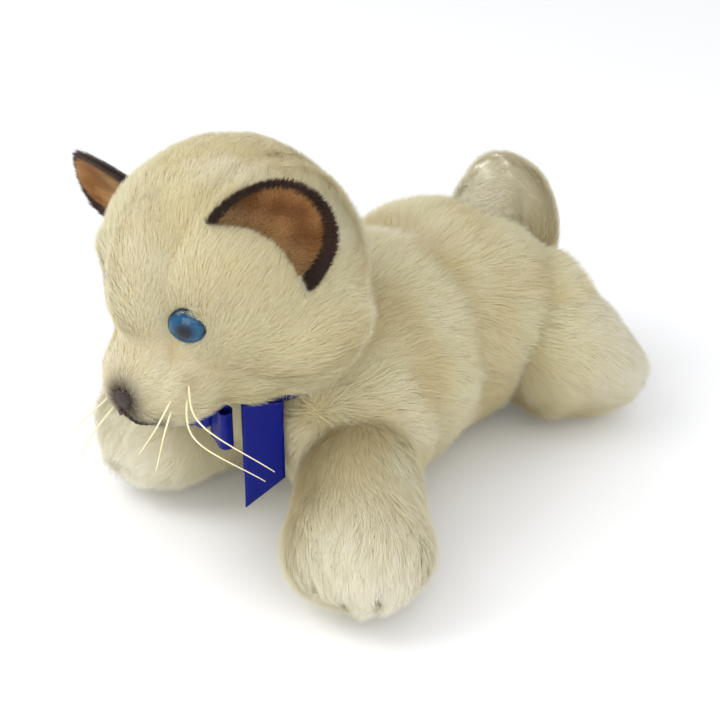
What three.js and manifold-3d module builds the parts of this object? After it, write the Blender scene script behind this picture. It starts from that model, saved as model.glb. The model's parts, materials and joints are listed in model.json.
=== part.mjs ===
// A stuffed plush cat lying on its belly, about 263 mm long: cut-pile covers over fibre
// filling, bean pouches, safety eyes with locking washers, nylon whiskers and a ribbon bow.
// Millimetres, +Z up. The cat faces -Y, its left side is +X, and it lies on the plane Z = 0.
import * as THREE from 'three';
import { mergeVertices } from 'three/addons/utils/BufferGeometryUtils.js';
import Module from 'manifold-3d';

const wasm = await Module();
wasm.setup();

// ---- Driving dimensions -------------------------------------------------------------

// Segments round and along a ball.
const COARSE = [12, 8];      // forms that lie inside others
const BALL = [14, 8];
const SMALL = [10, 6];
const OUTSIDE = { around: 20, along: 16 };
const INSIDE = { around: 14, along: 10 };
const ROUGH = { around: 10, along: 7 };
const THREAD = { steps: 8, sides: 5 };
const GAP = 0.4;             // clearance between touching pieces
const FILLING_INSET = 8;     // depth of the head's and the torso's filling under the cover
const LEG_INSET = 6;         // depth of a leg's filling
const COVER = 2.4;           // thickness of a cover: backing cloth and the base of its pile
const SWING_GAP = 3.4;       // clearance around a part through its whole movement
const FULLNESS = 2.5;        // how blunt a stuffed form's ends are; a ball's is 2
const WIDE = 600;            // side of the blocks that trim and split the forms
const MIDDLE = [-11.45, 6.85]; // puts the middle of the cat's box over the origin

// Stations along a form: [x, y, z, half width, half height].
const TORSO = [
  [0, -62, 44, 38, 38],
  [0, -36, 47, 51, 48],
  [0, -6, 48, 55, 51],
  [0, 28, 48, 48, 49],
  [0, 62, 50, 55, 51],
  [0, 100, 44, 50, 44],
];
const BELLY_SEAM_Z = 15;     // height of the seam round the belly panel
const BELLY_POUCH = { at: [0, 22, 14], half: [26, 36, 14] };

// A leg is drawn along its own Y axis, from its root inside the body to its paw.
const FRONT_LEG = [
  [0, 14, 36, 24, 26],
  [0, -12, 34, 27, 29],
  [0, -38, 28, 28, 29],
  [0, -62, 26, 32, 28],
  [0, -85, 23, 27, 24],
];
const HIND_LEG = [
  [0, -18, 36, 30, 31],
  [0, 8, 34, 31, 33],
  [0, 32, 25, 25, 27],
  [0, 54, 21, 21, 22],
];
const SOLE_SEAM_Z = 14;      // height of the seam between a leg's upper cover and its sole
const FRONT = { form: FRONT_LEG, pouch: { at: [0, -54, 14], half: [20, 23, 13] } };
const HIND = { form: HIND_LEG, pouch: { at: [0, 28, 12], half: [15, 19, 11] } };
const LEGS = [
  { name: 'front_leg_left', ...FRONT, at: [36, -38], turn: 42, swing: [-12, 18] },
  { name: 'front_leg_right', ...FRONT, at: [-32, -19], turn: -13, swing: [-24, 8] },
  { name: 'hind_leg_left', ...HIND, at: [36, 70], turn: -42, swing: [-15, 15] },
  { name: 'hind_leg_right', ...HIND, at: [-36, 70], turn: 42, swing: [-15, 15] },
];

const TAIL = [
  [0, 92, 44, 19, 18],
  [0, 106, 62, 19, 18],
  [0, 103, 84, 17, 16],
  [0, 87, 100, 15, 14],
  [0, 70, 104, 13, 12],
];
const TAIL_PIVOT = [0, 94];
const TAIL_WAG = [-20, 20];

// The neck is a ball in a hollow of the torso and a hollow of the head.
const NECK_CENTRE = [0, -50, 76];
const NECK_RADIUS = 25;
const NECK_ROOM = 33.6;      // radius of the hollow, which takes the ribbon's band as well
const NECK_BELT = 20;        // the neck's cover ends this far above and below its middle
const NECK_TURN = [-12, 12]; // degrees that the head turns to either side
const NECK_NOD = [-5, 3];    // degrees that the head nods: nose up, nose down
const HEAD_ROOM = 2;         // clearance between the head and the shoulders as it moves

// The head has its own frame: origin at the middle of the skull, face towards -Y.
const HEAD_CENTRE = [0, -68, 114];
const HEAD_PITCH = 15;       // degrees, nose down
const SKULL = { at: [0, -2, 2], half: [51, 50, 50] };
const CHEEKS = { at: [24, -4, -9], half: [33, 32, 26] };
const MUZZLE = { at: [0, -42, -18], half: [27, 27, 21] };
const GUSSET_HALF = 15;      // half the width of the strip over the forehead and crown
const CHIN_Z = -20;          // height of the seam between the cheeks and the chin

// An ear is a cupped leaf with its own frame: base at the origin, tip up, lining towards -Y.
const EAR = { width: 46, height: 36, thick: 4.2, cup: 0.017, rim: 3 };
const EAR_ROOM = 6.5;        // clearance before and behind an ear's root, where it folds
// Where each ear stands in the head's frame, and its degrees about X, Y and Z. The right ear
// lies out to the side.
const EARS = {
  left: { at: [35, -6, 31], tilt: [8, 42, 26] },
  right: { at: [-42, -6, 18], tilt: [10, -78, -8] },
};

// Where each eye sits and the direction that its dome faces. The right eye is set wider.
const EYES = {
  left: { at: [23, -45, 13], look: [0.5, -0.86, 0.08] },
  right: { at: [-27, -40, 12], look: [-0.7, -0.71, 0.08] },
};
const EYE = { radius: 7.2, dome: 4.6, stem: 2.2, length: 13 };
const EYE_WELL = 7.5;        // radius of the hollow in the filling behind an eye
const EYE_SIDES = 14;
const DOME_STEPS = 5;
const WASHER = { outer: 6.5, thick: 1.6, from: -9 };

const NOSE = { at: [0, -69, -12], half: [7.5, 2.6, 5] };
const MOUTH_THREAD = 1.1;
const MOUTH = [
  [-9, -62, -27], [-4.5, -66.5, -25], [0, -68.5, -19.5], [4.5, -66.5, -25], [9, -62, -27],
];

// Whiskers, each from its root through the points that bend it, in the head's frame.
const WHISKER_RADIUS = 0.45;
const WHISKERS = {
  left: [
    [[19, -48, -10], [34, -58, -17], [54, -47, -40]],
    [[18, -49, -14], [32, -61, -23], [51, -50, -44]],
    [[17, -50, -11], [18, -66, -20], [9, -72, -34]],
    [[16, -51, -14], [18, -63, -24], [14, -70, -41]],
  ],
  right: [
    [[-16, -58, -25], [-18, -70, -28], [-20, -78, -31]],
    [[-14, -59, -28], [-15, -74, -34], [-15, -84, -41]],
    [[-19, -50, -26], [-28, -46, -37], [-32, -36, -48]],
    [[-18, -52, -29], [-24, -48, -42], [-24, -38, -53]],
  ],
};

const RIBBON = { width: 16, thick: 0.8 };
const BAND = { radius: 29.4, sides: 28 };
const BAND_AXIS = [0, -0.524, 0.852];  // the band's plane is square to this line
const KNOT = { at: [-4, -86, 56], half: [5.5, 4, 5.5] };
// A bow loop: its length, half its thickness at the belly and at the knot, and its round end.
const LOOP = { length: 13, belly: 3.4, root: 1, end: 2 };
const TAILS_AT = [16.5, -75, 61];
const TAILS_TURN = 43;       // degrees that the hanging ends are turned about Z
const TAILS = { ribbon_tail_left: [44, 30, 0], ribbon_tail_right: [30, 20, 2.2] };

const FUR_CREAM = '#e4d8b8';
const FUR_PALE = '#f0ead8';
const FIBRE = '#f6f5f0';
const POUCH_CLOTH = '#d9d4c8';
const LINING_TAN = '#be915a';
const OUTER_BROWN = '#46302a';
const THREAD_BROWN = '#2a1d18';
const EYE_BLUE = '#0f5078';
const WASHER_WHITE = '#e8e8e4';
const NYLON = '#efe6c4';
const SATIN_BLUE = '#0a1996';

// ---- Helpers ------------------------------------------------------------------------

const UP = new THREE.Vector3(0, 0, 1);
const SIDEWAYS = new THREE.Vector3(1, 0, 0);
const { degToRad } = THREE.MathUtils;

/** A closed geometry as a solid that can be joined and cut. */
function solid(geometry) {
  const bare = geometry.clone();
  bare.deleteAttribute('normal');
  bare.deleteAttribute('uv');
  const merged = mergeVertices(bare, 1e-3);
  return new wasm.Manifold(new wasm.Mesh({
    numProp: 3,
    vertProperties: new Float32Array(merged.attributes.position.array),
    triVerts: new Uint32Array(merged.index.array),
  }));
}

/** A solid as a geometry that a mesh can show. */
function geometryOf(body) {
  const { vertProperties, triVerts, numProp } = body.getMesh();
  const count = vertProperties.length / numProp;
  const position = new Float32Array(count * 3);
  for (let i = 0; i < count; i += 1) {
    position.set(vertProperties.subarray(i * numProp, i * numProp + 3), i * 3);
  }
  const geometry = new THREE.BufferGeometry();
  geometry.setAttribute('position', new THREE.BufferAttribute(position, 3));
  geometry.setIndex(new THREE.BufferAttribute(new Uint32Array(triVerts), 1));
  geometry.computeVertexNormals();
  return geometry;
}

const union = (bodies) => bodies.reduce((all, body) => all.add(body));
const cut = (body, ...tools) => tools.reduce((rest, tool) => rest.subtract(tool), body);
const moved = (body, matrix) => solid(geometryOf(body).applyMatrix4(matrix));
const sweep = (body, matrices) => union(matrices.map((matrix) => moved(body, matrix)));

/** The largest connected piece of a solid, without the slivers that a cut can leave. */
function mainPiece(body) {
  return body.decompose().reduce((a, b) => (a.volume() > b.volume() ? a : b));
}

/** A block between two corners; a missing bound is left far away. */
function block({ x = [-WIDE, WIDE], y = [-WIDE, WIDE], z = [-WIDE, WIDE] }) {
  const box = new THREE.BoxGeometry(x[1] - x[0], y[1] - y[0], z[1] - z[0]);
  box.translate((x[0] + x[1]) / 2, (y[0] + y[1]) / 2, (z[0] + z[1]) / 2);
  return solid(box);
}

/** The matrix that turns about a point: angles in degrees about X, then Y, then Z. */
function turnedAbout([x, y, z], [ax, ay, az]) {
  const turn = new THREE.Matrix4().makeRotationFromEuler(
    new THREE.Euler(degToRad(ax), degToRad(ay), degToRad(az), 'ZYX'),
  );
  const there = new THREE.Matrix4().makeTranslation(x, y, z);
  return there.clone().multiply(turn).multiply(there.clone().invert());
}

/** A movement's two limits and the angle halfway. */
const between = ([low, high]) => [low, (low + high) / 2, high];

/** A stuffed form: a ball drawn out along its stations, made smaller all round by inset. */
function stuffed(stations, inset, { around, along, up = UP }) {
  const curve = (points) => new THREE.CatmullRomCurve3(points.map((p) => new THREE.Vector3(...p)));
  const spine = curve(stations.map(([x, y, z]) => [x, y, z]));
  const girth = curve(stations.map(([, , , w, h]) => [w, h, 0]));
  const length = spine.getLength();
  const reach = inset / length;
  const ball = new THREE.SphereGeometry(1, around, along);
  const { position } = ball.attributes;
  for (let i = 0; i < position.count; i += 1) {
    const polar = THREE.MathUtils.clamp(position.getY(i), -1, 1);
    const rim = Math.sqrt(1 - polar * polar);
    const u = reach + (1 - 2 * reach) * (1 - polar) / 2;
    const taper = (1 - Math.abs(polar) ** FULLNESS) ** (1 / FULLNESS);
    const onSpine = THREE.MathUtils.clamp(u, 0, 1);
    const tangent = spine.getTangent(onSpine);
    const side = new THREE.Vector3().crossVectors(up, tangent).normalize();
    const top = new THREE.Vector3().crossVectors(tangent, side);
    const half = girth.getPoint(onSpine);
    const point = spine.getPoint(onSpine).addScaledVector(tangent, (u - onSpine) * length);
    if (rim > 1e-6) {
      point.addScaledVector(side, (position.getX(i) / rim) * taper * (half.x - inset));
      point.addScaledVector(top, (position.getZ(i) / rim) * taper * (half.y - inset));
    }
    position.setXYZ(i, point.x, point.y, point.z);
  }
  return solid(ball);
}

/** An ellipsoid, made smaller all round by inset. */
function ellipsoid({ at, half }, inset = 0, around = OUTSIDE.around, along = OUTSIDE.along) {
  const ball = new THREE.SphereGeometry(1, around, along);
  ball.scale(half[0] - inset, half[1] - inset, half[2] - inset);
  ball.translate(...at);
  return solid(ball);
}

/** A round thread or bristle along points. */
function thread(points, radius) {
  const { steps, sides } = THREAD;
  const section = new THREE.Shape(Array.from({ length: sides }, (_, i) => {
    const angle = (i / sides) * 2 * Math.PI;
    return new THREE.Vector2(radius * Math.cos(angle), radius * Math.sin(angle));
  }));
  const path = new THREE.CatmullRomCurve3(points.map((point) => new THREE.Vector3(...point)));
  const settings = { extrudePath: path, steps, bevelEnabled: false };
  return solid(new THREE.ExtrudeGeometry(section, settings));
}

/** A flat piece with an outline in X and Z, centred on Y = 0 and thick along Y. */
function plate(outline, thick) {
  const shape = new THREE.Shape(outline.map(([x, z]) => new THREE.Vector2(x, z)));
  const geometry = new THREE.ExtrudeGeometry(shape, { depth: thick, bevelEnabled: false });
  geometry.translate(0, 0, -thick / 2);
  geometry.rotateX(Math.PI / 2);
  return solid(geometry);
}

/** A turned piece from its profile of [radius, height], with its axis along a direction. */
function turned(profile, sides, at, direction) {
  const lathe = new THREE.LatheGeometry(profile.map(([r, z]) => new THREE.Vector2(r, z)), sides);
  const aim = new THREE.Quaternion().setFromUnitVectors(
    new THREE.Vector3(0, 1, 0),
    new THREE.Vector3(...direction).normalize(),
  );
  lathe.applyQuaternion(aim);
  lathe.translate(...at);
  return solid(lathe);
}

const cat = new THREE.Group();
cat.name = 'plush_cat';
cat.position.set(...MIDDLE, 0);

function add(parent, name, body, color, roughness = 1) {
  const material = new THREE.MeshStandardMaterial({ color, roughness, metalness: 0 });
  const mesh = new THREE.Mesh(geometryOf(mainPiece(body)), material);
  mesh.name = name;
  parent.add(mesh);
}

const above = (z) => block({ z: [z, WIDE] });
const below = (z) => block({ z: [-WIDE, z] });
const SIDES = { left: 1, right: -1 };
const onSide = (side, from) => block({ x: side > 0 ? [from, WIDE] : [-WIDE, -from] });

// ---- Movements: where each part can be, for the room that its neighbours leave ----------

const legPose = (leg, angle) => new THREE.Matrix4()
  .makeTranslation(leg.at[0], leg.at[1], 0)
  .multiply(new THREE.Matrix4().makeRotationZ(degToRad(leg.turn + angle)));
const legRoom = (leg) => sweep(
  stuffed(leg.form, -SWING_GAP, ROUGH),
  between(leg.swing).map((angle) => legPose(leg, angle)),
);

const tailForm = (inset) => stuffed(TAIL, inset, { ...(inset ? ROUGH : INSIDE), up: SIDEWAYS });
const tailRoom = sweep(
  tailForm(-SWING_GAP),
  between(TAIL_WAG).map((angle) => turnedAbout([...TAIL_PIVOT, 0], [0, 0, angle])),
);

const headPose = new THREE.Matrix4()
  .makeTranslation(...HEAD_CENTRE)
  .multiply(new THREE.Matrix4().makeRotationX(degToRad(HEAD_PITCH)));

// ---- Head ---------------------------------------------------------------------------

function headForm(inset, ...detail) {
  const [x, y, z] = CHEEKS.at;
  const lumps = [SKULL, CHEEKS, { ...CHEEKS, at: [-x, y, z] }, MUZZLE];
  return union(lumps.map((lump) => ellipsoid(lump, inset, ...detail)));
}

const neckBall = (radius) => ellipsoid({ at: NECK_CENTRE, half: [radius, radius, radius] }, 0, ...BALL);
const toHead = headPose.clone().invert();
const headRoom = () => sweep(
  headForm(-HEAD_ROOM, ...COARSE),
  NECK_TURN.flatMap((turn) => NECK_NOD.map((nod) => turnedAbout(NECK_CENTRE, [0, 0, turn])
    .multiply(turnedAbout(NECK_CENTRE, [nod, 0, 0]))
    .multiply(headPose))),
);

function band() {
  const inner = BAND.radius;
  const outer = inner + RIBBON.thick;
  const half = RIBBON.width / 2;
  const profile = [[inner, -half], [outer, -half], [outer, half], [inner, half], [inner, -half]];
  return turned(profile, BAND.sides, NECK_CENTRE, BAND_AXIS);
}

/** A piece turned about the line that an eye looks along. */
const lookingOut = (profile, { at, look }) => turned(profile, EYE_SIDES, at, look);

/** The eye of one side: a domed button on a stem, with room around it set by extra. */
function eye(name, extra = 0) {
  const radius = EYE.radius + extra;
  const dome = EYE.dome + extra;
  const stem = EYE.stem + extra;
  const end = -EYE.length - extra;
  const profile = [[0, end], [stem, end], [stem, -extra], [radius, -extra]];
  for (let i = 1; i < DOME_STEPS; i += 1) {
    const angle = (i / DOME_STEPS) * Math.PI / 2;
    profile.push([radius * Math.cos(angle), dome * Math.sin(angle)]);
  }
  profile.push([0, dome]);
  return lookingOut(profile, EYES[name]);
}

/** The washer that locks an eye's stem behind the cover. */
function washer(name) {
  const inner = EYE.stem + GAP;
  const { outer, from: low, thick } = WASHER;
  const high = low + thick;
  const profile = [[inner, low], [outer, low], [outer, high], [inner, high], [inner, low]];
  return lookingOut(profile, EYES[name]);
}

/** A cupped leaf, base at the origin and tip up, moved along Y by shift. */
function leaf(width, height, thick, shift, base = 0, detail = BALL) {
  const ball = new THREE.SphereGeometry(1, ...detail);
  ball.scale(width / 2, thick / 2, height);
  const { position } = ball.attributes;
  for (let i = 0; i < position.count; i += 1) {
    const x = position.getX(i);
    position.setY(i, position.getY(i) + shift - EAR.cup * x * x);
  }
  return solid(ball).intersect(above(base));
}

const earPose = ({ at, tilt }) => new THREE.Matrix4()
  .makeTranslation(...at)
  .multiply(new THREE.Matrix4().makeRotationFromEuler(new THREE.Euler(...tilt.map(degToRad), 'ZYX')));
const earLeaf = leaf(EAR.width, EAR.height, EAR.thick, 0);
const earRoom = (name) => moved(
  leaf(EAR.width + 2 * SWING_GAP, EAR.height, EAR.thick + 2 * EAR_ROOM, 0, -SWING_GAP, SMALL),
  earPose(EARS[name]),
);
const whisker = (points, extra = 0) => thread(points, WHISKER_RADIUS + extra);

const faceRoom = union([
  ...Object.keys(SIDES).flatMap((name) => [
    eye(name, GAP),
    earRoom(name),
    ...WHISKERS[name].map((points) => whisker(points, GAP)),
  ]),
  ellipsoid(NOSE, -GAP, ...SMALL),
  thread(MOUTH, MOUTH_THREAD + GAP),
]);
const neckRoomInHead = moved(neckBall(NECK_ROOM), toHead);

const head = new THREE.Group();
head.position.set(...HEAD_CENTRE);
head.rotation.x = degToRad(HEAD_PITCH);
cat.add(head);

const headCover = cut(headForm(0), headForm(COVER, ...COARSE), faceRoom, neckRoomInHead);
const gusset = block({ x: [-GUSSET_HALF, GUSSET_HALF], z: [CHIN_Z + GAP, WIDE] });
add(head, 'forehead_gusset', headCover.intersect(gusset), FUR_CREAM);
add(head, 'chin_cover', headCover.intersect(below(CHIN_Z)), FUR_PALE);
const wellEnd = -EYE.length - GAP;
const wells = Object.keys(SIDES).flatMap((name) => [
  lookingOut([[0, wellEnd], [EYE_WELL, wellEnd], [EYE_WELL, 0], [0, 0]], EYES[name]),
  earRoom(name),
]);
const headFilling = cut(headForm(FILLING_INSET, ...COARSE), neckRoomInHead, ...wells);
add(head, 'head_filling', headFilling, FIBRE);
add(head, 'nose_embroidery', ellipsoid(NOSE, 0, ...SMALL), THREAD_BROWN, 0.6);
add(head, 'mouth_thread', thread(MOUTH, MOUTH_THREAD), THREAD_BROWN, 0.6);

for (const [name, side] of Object.entries(SIDES)) {
  const cheek = onSide(side, GUSSET_HALF + GAP).intersect(above(CHIN_Z + GAP));
  add(head, `cheek_cover_${name}`, headCover.intersect(cheek), FUR_CREAM);
  add(head, `eye_${name}`, eye(name), EYE_BLUE, 0.1);
  add(head, `eye_washer_${name}`, washer(name), WASHER_WHITE, 0.5);
  WHISKERS[name].forEach((points, i) => {
    add(head, `whisker_${name}_${i + 1}`, whisker(points), NYLON, 0.4);
  });

  const ear = new THREE.Group();
  earPose(EARS[name]).decompose(ear.position, ear.quaternion, ear.scale);
  head.add(ear);
  const lining = (extra) => leaf(
    EAR.width - 2 * EAR.rim + extra,
    EAR.height - EAR.rim + extra,
    EAR.thick / 2 + extra,
    -EAR.thick / 3,
  );
  add(ear, `ear_outer_${name}`, cut(earLeaf, lining(2 * GAP)), OUTER_BROWN);
  add(ear, `ear_lining_${name}`, lining(0), LINING_TAN);
}

// ---- Neck ---------------------------------------------------------------------------

const neckShell = cut(neckBall(NECK_RADIUS), neckBall(NECK_RADIUS - COVER));
const neckBelt = turned(
  [[0, -NECK_BELT], [WIDE, -NECK_BELT], [WIDE, NECK_BELT], [0, NECK_BELT]],
  BAND.sides,
  NECK_CENTRE,
  BAND_AXIS,
);
add(cat, 'neck_cover', neckShell.intersect(neckBelt), FUR_CREAM);
add(cat, 'neck_filling', neckBall(NECK_RADIUS - COVER - GAP), FIBRE);

// ---- Torso --------------------------------------------------------------------------

const torsoForm = (inset) => stuffed(TORSO, inset, inset ? INSIDE : OUTSIDE);
const torsoRoom = union([
  ...LEGS.map(legRoom),
  tailRoom,
  neckBall(NECK_ROOM),
  headRoom(),
]);
const torsoHollow = torsoForm(COVER).intersect(above(COVER));
const torsoShell = cut(torsoForm(0), torsoHollow, below(0), torsoRoom);
add(cat, 'belly_cover', torsoShell.intersect(below(BELLY_SEAM_Z)), FUR_PALE);
for (const [name, side] of Object.entries(SIDES)) {
  const region = onSide(side, GAP / 2).intersect(above(BELLY_SEAM_Z + GAP));
  add(cat, `back_cover_${name}`, torsoShell.intersect(region), FUR_CREAM);
}
const torsoInside = cut(torsoForm(FILLING_INSET), below(COVER + GAP), torsoRoom);
const bellyPouch = (inset) => ellipsoid(BELLY_POUCH, inset, ...COARSE);
add(cat, 'belly_pouch', torsoInside.intersect(bellyPouch(0)), POUCH_CLOTH);
add(cat, 'torso_filling', cut(torsoInside, bellyPouch(-GAP)), FIBRE);

// ---- Legs ---------------------------------------------------------------------------

for (const leg of LEGS) {
  const group = new THREE.Group();
  group.position.set(leg.at[0], leg.at[1], 0);
  group.rotation.z = degToRad(leg.turn);
  cat.add(group);
  const outside = cut(stuffed(leg.form, 0, OUTSIDE), below(0));
  const shell = cut(outside, stuffed(leg.form, COVER, ROUGH).intersect(above(COVER)));
  const inside = cut(stuffed(leg.form, LEG_INSET, ROUGH), below(COVER + GAP));
  const pouch = (inset) => ellipsoid(leg.pouch, inset, ...SMALL);
  add(group, `${leg.name}_cover`, shell.intersect(above(SOLE_SEAM_Z + GAP)), FUR_CREAM);
  add(group, `${leg.name}_sole`, shell.intersect(below(SOLE_SEAM_Z)), FUR_PALE);
  add(group, `${leg.name}_pouch`, inside.intersect(pouch(0)), POUCH_CLOTH);
  add(group, `${leg.name}_filling`, cut(inside, pouch(-GAP)), FIBRE);
}

// ---- Tail ---------------------------------------------------------------------------

const tailShell = cut(tailForm(0), tailForm(COVER));
for (const [name, side] of Object.entries(SIDES)) {
  add(cat, `tail_cover_${name}`, tailShell.intersect(onSide(side, GAP / 2)), FUR_CREAM);
}
add(cat, 'tail_filling', tailForm(COVER + GAP), FIBRE);

// ---- Ribbon -------------------------------------------------------------------------

/** The outline of a bow loop beside the knot, made thinner all round by inset. */
function loopOutline(side, inset) {
  const from = KNOT.half[0] + GAP + (inset ? LOOP.end : 0);
  const to = KNOT.half[0] + GAP + LOOP.length;
  const root = Math.max(LOOP.root - inset, GAP / 2);
  const belly = LOOP.belly - inset;
  const tip = inset ? [] : [[to, 0]];
  const end = to - LOOP.end;
  const points = [[from, -root], [end, -belly], ...tip, [end, belly], [from, root]];
  return side > 0 ? points : points.map(([x, z]) => [-x, z]).reverse();
}

add(cat, 'ribbon_band', band(), SATIN_BLUE, 0.35);
add(cat, 'ribbon_knot', ellipsoid(KNOT, 0, ...SMALL), SATIN_BLUE, 0.35);
for (const [name, side] of Object.entries(SIDES)) {
  const hollow = plate(loopOutline(side, RIBBON.thick), WIDE);
  const loop = cut(plate(loopOutline(side, 0), RIBBON.width), hollow);
  const turn = new THREE.Matrix4().makeTranslation(...KNOT.at)
    .multiply(new THREE.Matrix4().makeRotationX(Math.PI / 2));
  add(cat, `ribbon_loop_${name}`, moved(loop, turn), SATIN_BLUE, 0.35);
}

const tails = new THREE.Group();
tails.position.set(...TAILS_AT);
tails.rotation.z = degToRad(TAILS_TURN);
cat.add(tails);
for (const [name, [long, short, behind]] of Object.entries(TAILS)) {
  const half = RIBBON.width / 2;
  const strip = plate([[-half, 0], [-half, -long], [half, -short], [half, 0]], RIBBON.thick);
  const place = new THREE.Matrix4().makeTranslation(0, behind, 0);
  add(tails, name, moved(strip, place), SATIN_BLUE, 0.35);
}

export default cat;
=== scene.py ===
import json
import math

import bmesh
import bpy
import numpy as np
from mathutils import Matrix, Vector


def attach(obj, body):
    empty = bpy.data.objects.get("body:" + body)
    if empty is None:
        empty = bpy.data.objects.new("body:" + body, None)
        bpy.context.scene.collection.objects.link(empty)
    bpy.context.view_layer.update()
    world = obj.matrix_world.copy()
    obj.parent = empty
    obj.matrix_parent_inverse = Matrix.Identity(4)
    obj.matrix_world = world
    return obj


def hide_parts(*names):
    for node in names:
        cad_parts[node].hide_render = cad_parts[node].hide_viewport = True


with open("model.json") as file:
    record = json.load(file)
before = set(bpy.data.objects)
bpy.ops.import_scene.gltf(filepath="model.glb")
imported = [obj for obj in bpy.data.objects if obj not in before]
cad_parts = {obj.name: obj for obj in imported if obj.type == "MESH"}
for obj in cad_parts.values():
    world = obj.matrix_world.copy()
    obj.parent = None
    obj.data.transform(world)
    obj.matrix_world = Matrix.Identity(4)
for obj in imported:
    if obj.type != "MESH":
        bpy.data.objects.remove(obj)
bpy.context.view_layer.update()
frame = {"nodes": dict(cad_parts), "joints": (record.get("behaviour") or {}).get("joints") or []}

MM = 0.001
JOINT_AT = {j["name"]: Vector(j["pos_m"]) for j in frame["joints"]}
# The cat's own frame: its mid plane, and the floor point 50 mm behind its neck.
NECK = JOINT_AT["neck_turn"]
CAT = Vector((NECK.x, NECK.y + 50 * MM, 0))


# ---- Small helpers --------------------------------------------------------------------

def rgb(hex_colour, alpha=1.0):
    """An sRGB hex colour as the linear colour that a shader takes."""
    parts = [int(hex_colour[i:i + 2], 16) / 255 for i in (1, 3, 5)]
    return [p / 12.92 if p <= 0.04045 else ((p + 0.055) / 1.055) ** 2.4 for p in parts] + [alpha]


def add_node(tree, kind, settings=(), **links):
    """Adds a node. settings are its properties; links are its inputs, each a value or a socket."""
    made = tree.nodes.new(kind)
    for key, value in dict(settings).items():
        setattr(made, key, value)
    for key, value in links.items():
        name = key.replace("_", " ").strip()
        socket = made.inputs[int(name[1:])] if name[0] == "i" and name[1:].isdigit() else made.inputs[name]
        if isinstance(value, bpy.types.NodeSocket):
            tree.links.new(value, socket)
        else:
            socket.default_value = value
    return made


def mesh_object(name, vertices, faces):
    mesh = bpy.data.meshes.new(name)
    mesh.from_pydata([tuple(v) for v in vertices], [], [tuple(f) for f in faces])
    made = bpy.data.objects.new(name, mesh)
    bpy.context.scene.collection.objects.link(made)
    return made


def smooth_shaded(thing):
    thing.data.shade_smooth()
    return thing


def close_up(mesh, merge=None):
    """Turns a mesh's faces outwards, after merging vertices closer than merge millimetres."""
    work = bmesh.new()
    work.from_mesh(mesh)
    if merge:
        bmesh.ops.remove_doubles(work, verts=work.verts, dist=merge * MM)
    bmesh.ops.recalc_face_normals(work, faces=work.faces)
    work.to_mesh(mesh)
    work.free()


def evaluated_mesh(thing):
    """The object's mesh with its modifiers applied, and the modifiers removed."""
    graph = bpy.context.evaluated_depsgraph_get()
    mesh = bpy.data.meshes.new_from_object(thing.evaluated_get(graph), depsgraph=graph)
    thing.modifiers.clear()
    old = thing.data
    thing.data = mesh
    mesh.name = old.name
    bpy.data.meshes.remove(old)
    return thing


def coords(mesh):
    out = np.empty(len(mesh.vertices) * 3, np.float32)
    mesh.vertices.foreach_get("co", out)
    return out.reshape(-1, 3).astype(float)


def normals(mesh):
    out = np.empty(len(mesh.vertices) * 3, np.float32)
    mesh.vertex_normals.foreach_get("vector", out)
    return out.reshape(-1, 3).astype(float)


def unit(v):
    return v / np.maximum(np.linalg.norm(v, axis=-1, keepdims=True), 1e-9)


def bump(distance, width):
    """1 on the line and 0 well away from it."""
    return np.exp(-(distance / width) ** 2)


def smoothstep(low, high, x):
    t = np.clip((x - low) / (high - low), 0, 1)
    return t * t * (3 - 2 * t)


# ---- Forms ----------------------------------------------------------------------------
# Stations along a form, in millimetres: x, y, z, half width, half height.

TORSO = [
    (0, -62, 44, 38, 38), (0, -36, 47, 51, 48), (0, -6, 48, 55, 51),
    (0, 28, 48, 48, 49), (0, 62, 50, 55, 51), (0, 100, 44, 50, 44),
]
FRONT_LEG = [
    (0, 14, 36, 24, 26), (0, -12, 34, 27, 29), (0, -38, 28, 28, 29),
    (0, -62, 26, 32, 28), (0, -85, 23, 27, 24),
]
HIND_LEG = [(0, -18, 36, 30, 31), (0, 8, 34, 31, 33), (0, 32, 25, 25, 27), (0, 54, 21, 21, 22)]
TAIL = [
    (0, 92, 44, 20, 19), (0, 105, 62, 20, 19), (0, 102, 84, 17, 16.5),
    (0, 87.5, 99.5, 14, 13.5), (0, 71, 104, 12, 11),
]
LEGS = {
    "front_leg_left": (FRONT_LEG, 42), "front_leg_right": (FRONT_LEG, -13),
    "hind_leg_left": (HIND_LEG, -42), "hind_leg_right": (HIND_LEG, 42),
}
HEAD_CENTRE = (0, -68, 114)
HEAD_PITCH = math.radians(15)
SKULL = ((0, -2, 2), (51, 50, 50))
CHEEKS = ((24, -4, -10), (33, 32, 29))
MUZZLE = ((0, -42, -18), (27, 27, 21))
BRIDGE = ((-2, -32, 12), (20, 24, 36))
JOWLS = ((20, -18, -20), (21, 24, 17))

HEAD_FRAME = (
    Matrix.Translation(CAT + Vector(HEAD_CENTRE) * MM) @ Matrix.Rotation(HEAD_PITCH, 4, "X")
)
BODY_FRAME = Matrix.Translation(CAT)


def spline(rows, u):
    """Points of a Catmull-Rom curve through rows, for u from 0 to 1."""
    rows = np.array(rows, float)
    padded = np.vstack([2 * rows[0] - rows[1], rows, 2 * rows[-1] - rows[-2]])
    t = np.clip(u, 0, 1) * (len(rows) - 1)
    i = np.minimum(t.astype(int), len(rows) - 2)
    f = (t - i)[:, None]
    a, b, c, d = (padded[i + k] for k in range(4))
    square, cube = (2 * a - 5 * b + 4 * c - d), (3 * b - a - 3 * c + d)
    return 0.5 * (2 * b + (c - a) * f + square * f ** 2 + cube * f ** 3)


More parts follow.
